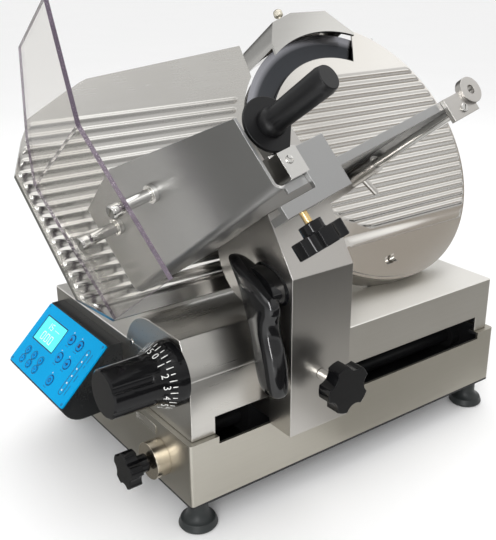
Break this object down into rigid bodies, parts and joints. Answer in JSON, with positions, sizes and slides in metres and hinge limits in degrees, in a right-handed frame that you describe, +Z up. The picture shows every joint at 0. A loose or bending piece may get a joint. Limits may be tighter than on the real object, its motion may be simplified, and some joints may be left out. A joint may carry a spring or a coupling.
{
  "type": "electric food slicer",
  "caption": "Automatic gravity-feed food slicer: leaning round blade with ribbed cover and gauge plate, sliding tray with pusher and clear guard, thickness dial and keypad.",
  "frame": {"origin": "on the floor, under the middle of the machine's bounding box with the carriage at rest", "axes": "+X along the carriage's travel, from the control panel towards the blade; +Y to the back; +Z up"},
  "size_m": [0.663, 0.5438, 0.5732],
  "materials": {
    "cast_aluminium": "satin",
    "sheet_steel": "brushed",
    "polished_steel": "polished",
    "blade_steel": "polished",
    "black_plastic": "gloss",
    "dark_housing": "satin",
    "clear_plastic": "clear",
    "keypad_blue": "satin",
    "display_glass": "gloss",
    "rubber": "matt",
    "belt_rubber": "matt",
    "brass": "polished",
    "motor_paint": "satin",
    "stone": "rough"
  },
  "bodies": {
    "base": {"lower_base": "cast_aluminium", "bottom_plate": "sheet_steel", "feet": "rubber", "upper_body": "cast_aluminium", "carriage_rod": "polished_steel", "drive_motor": "motor_paint", "drive_belt": "belt_rubber", "gauge_guide": "cast_aluminium", "lock_collar": "brass", "blade_head": "cast_aluminium", "belt_cover": "cast_aluminium", "bearings": "polished_steel", "blade_cover": "cast_aluminium", "blade_motor": "motor_paint", "blade_belt": "belt_rubber", "panel_housing": "dark_housing", "keypad": "keypad_blue", "display": "display_glass"},
    "carriage": {"carriage_block": "cast_aluminium", "carriage_arm": "cast_aluminium", "carriage_handle": "black_plastic", "tray": "sheet_steel", "brace_rod": "polished_steel", "brace_socket": "polished_steel", "brace_bracket": "sheet_steel", "clear_guard": "clear_plastic", "guard_fixings": "polished_steel", "pusher_rail": "polished_steel", "rail_clamp": "sheet_steel"},
    "pusher": {"pusher_block": "cast_aluminium", "pusher_plate": "polished_steel", "hand_guard": "black_plastic", "pusher_grip": "black_plastic"},
    "gauge": {"gauge_plate": "cast_aluminium", "gauge_slide": "polished_steel"},
    "blade": {"spindle": "polished_steel", "blade": "blade_steel", "blade_pulley": "cast_aluminium"},
    "sharpener": {"sharpener_hood": "sheet_steel"},
    "drive_pulley": {"drive_pulley": "cast_aluminium"},
    "idler_pulley": {"idler_pulley": "cast_aluminium"},
    "front_knob": {"front_knob": "black_plastic"},
    "wing_knob": {"wing_knob": "black_plastic"},
    "dial_knob": {"dial_knob": "black_plastic"},
    "lock_knob": {"lock_knob": "black_plastic"},
    "motor_pulley": {"motor_pulley": "cast_aluminium"},
    "sharpener_knob": {"sharpener_knob": "brass"},
    "stone_left": {"stone_left": "stone"},
    "stone_right": {"stone_right": "stone"},
    "key_start": {"key_start": "keypad_blue"},
    "key_stop": {"key_stop": "keypad_blue"},
    "key_left": {"key_left": "keypad_blue"},
    "key_right": {"key_right": "keypad_blue"},
    "key_reset": {"key_reset": "keypad_blue"},
    "key_count_up": {"key_count_up": "keypad_blue"},
    "key_count_down": {"key_count_down": "keypad_blue"},
    "key_speed_up": {"key_speed_up": "keypad_blue"},
    "key_speed_down": {"key_speed_down": "keypad_blue"},
    "key_stroke_up": {"key_stroke_up": "keypad_blue"},
    "key_stroke_down": {"key_stroke_down": "keypad_blue"}
  },
  "joints": [
    {"name": "carriage_slide", "type": "slide", "parent": "base", "child": "carriage", "axis": [1, 0, 0], "range_m": [-0.055, 0.265]},
    {"name": "pusher_slide", "type": "slide", "parent": "carriage", "child": "pusher", "axis": [0, -0.8192, 0.5736], "range_m": [-0.235, 0]},
    {"name": "gauge_open", "type": "slide", "parent": "base", "child": "gauge", "axis": [0, 0.8192, -0.5736], "range_m": [0, 0.016]},
    {"name": "dial_turn", "type": "hinge", "parent": "base", "child": "dial_knob", "pos_m": [-0.2445, -0.04222, 0.1925], "axis": [-1, 0, 0], "range_deg": [0, 300]},
    {"name": "blade_spin", "type": "hinge", "parent": "base", "child": "blade", "pos_m": [0.1435, 0.08178, 0.361], "axis": [0, -0.8192, 0.5736], "continuous": true},
    {"name": "motor_spin", "type": "hinge", "parent": "base", "child": "motor_pulley", "pos_m": [0.1435, 0.04522, 0.1571], "axis": [0, -0.8192, 0.5736], "continuous": true},
    {"name": "drive_pulley_spin", "type": "hinge", "parent": "base", "child": "drive_pulley", "pos_m": [-0.1845, 0.02278, 0.078], "axis": [0, 1, 0], "range_deg": [-200, 940]},
    {"name": "idler_pulley_spin", "type": "hinge", "parent": "base", "child": "idler_pulley", "pos_m": [0.2055, 0.02278, 0.078], "axis": [0, 1, 0], "range_deg": [-200, 940]},
    {"name": "front_knob_turn", "type": "hinge", "parent": "carriage", "child": "front_knob", "pos_m": [-0.0975, -0.14122, 0.179], "axis": [0, -1, 0], "range_deg": [-180, 180]},
    {"name": "wing_knob_turn", "type": "hinge", "parent": "carriage", "child": "wing_knob", "pos_m": [-0.22171, -0.23536, 0.41193], "axis": [-0.225, 0.5589, 0.7982], "range_deg": [-180, 180]},
    {"name": "lock_knob_turn", "type": "hinge", "parent": "base", "child": "lock_knob", "pos_m": [-0.2645, -0.01922, 0.076], "axis": [-1, 0, 0], "range_deg": [-180, 180]},
    {"name": "sharpener_lift", "type": "slide", "parent": "base", "child": "sharpener", "axis": [0, 0.5736, 0.8192], "range_m": [0, 0.03]},
    {"name": "sharpener_knob_press", "type": "slide", "parent": "sharpener", "child": "sharpener_knob", "axis": [0, -0.5736, -0.8192], "range_m": [0, 0.003], "stiffness_N_per_m": 600, "springref_m": -0.001},
    {"name": "stone_left_spin", "type": "hinge", "parent": "sharpener", "child": "stone_left", "pos_m": [0.1095, 0.20534, 0.49911], "axis": [0, 0.5736, 0.8192], "continuous": true},
    {"name": "stone_right_spin", "type": "hinge", "parent": "sharpener", "child": "stone_right", "pos_m": [0.1515, 0.20534, 0.49911], "axis": [0, 0.5736, 0.8192], "continuous": true},
    {"name": "key_start_press", "type": "slide", "parent": "base", "child": "key_start", "axis": [0.7022, 0, -0.712], "range_m": [0, 0.0006], "stiffness_N_per_m": 400, "springref_m": -0.0002},
    {"name": "key_stop_press", "type": "slide", "parent": "base", "child": "key_stop", "axis": [0.7022, 0, -0.712], "range_m": [0, 0.0006], "stiffness_N_per_m": 400, "springref_m": -0.0002},
    {"name": "key_left_press", "type": "slide", "parent": "base", "child": "key_left", "axis": [0.7022, 0, -0.712], "range_m": [0, 0.0006], "stiffness_N_per_m": 400, "springref_m": -0.0002},
    {"name": "key_right_press", "type": "slide", "parent": "base", "child": "key_right", "axis": [0.7022, 0, -0.712], "range_m": [0, 0.0006], "stiffness_N_per_m": 400, "springref_m": -0.0002},
    {"name": "key_reset_press", "type": "slide", "parent": "base", "child": "key_reset", "axis": [0.7022, 0, -0.712], "range_m": [0, 0.0006], "stiffness_N_per_m": 400, "springref_m": -0.0002},
    {"name": "key_count_up_press", "type": "slide", "parent": "base", "child": "key_count_up", "axis": [0.7022, 0, -0.712], "range_m": [0, 0.0006], "stiffness_N_per_m": 400, "springref_m": -0.0002},
    {"name": "key_count_down_press", "type": "slide", "parent": "base", "child": "key_count_down", "axis": [0.7022, 0, -0.712], "range_m": [0, 0.0006], "stiffness_N_per_m": 400, "springref_m": -0.0002},
    {"name": "key_speed_up_press", "type": "slide", "parent": "base", "child": "key_speed_up", "axis": [0.7022, 0, -0.712], "range_m": [0, 0.0006], "stiffness_N_per_m": 400, "springref_m": -0.0002},
    {"name": "key_speed_down_press", "type": "slide", "parent": "base", "child": "key_speed_down", "axis": [0.7022, 0, -0.712], "range_m": [0, 0.0006], "stiffness_N_per_m": 400, "springref_m": -0.0002},
    {"name": "key_stroke_up_press", "type": "slide", "parent": "base", "child": "key_stroke_up", "axis": [0.7022, 0, -0.712], "range_m": [0, 0.0006], "stiffness_N_per_m": 400, "springref_m": -0.0002},
    {"name": "key_stroke_down_press", "type": "slide", "parent": "base", "child": "key_stroke_down", "axis": [0.7022, 0, -0.712], "range_m": [0, 0.0006], "stiffness_N_per_m": 400, "springref_m": -0.0002}
  ],
  "couplings": [
    {"joint": "dial_turn", "follows": "gauge_open", "rad_per_m": 327.25},
    {"joint": "motor_spin", "follows": "blade_spin", "ratio": 3},
    {"joint": "drive_pulley_spin", "follows": "carriage_slide", "rad_per_m": 61.35},
    {"joint": "idler_pulley_spin", "follows": "carriage_slide", "rad_per_m": 61.35}
  ]
}
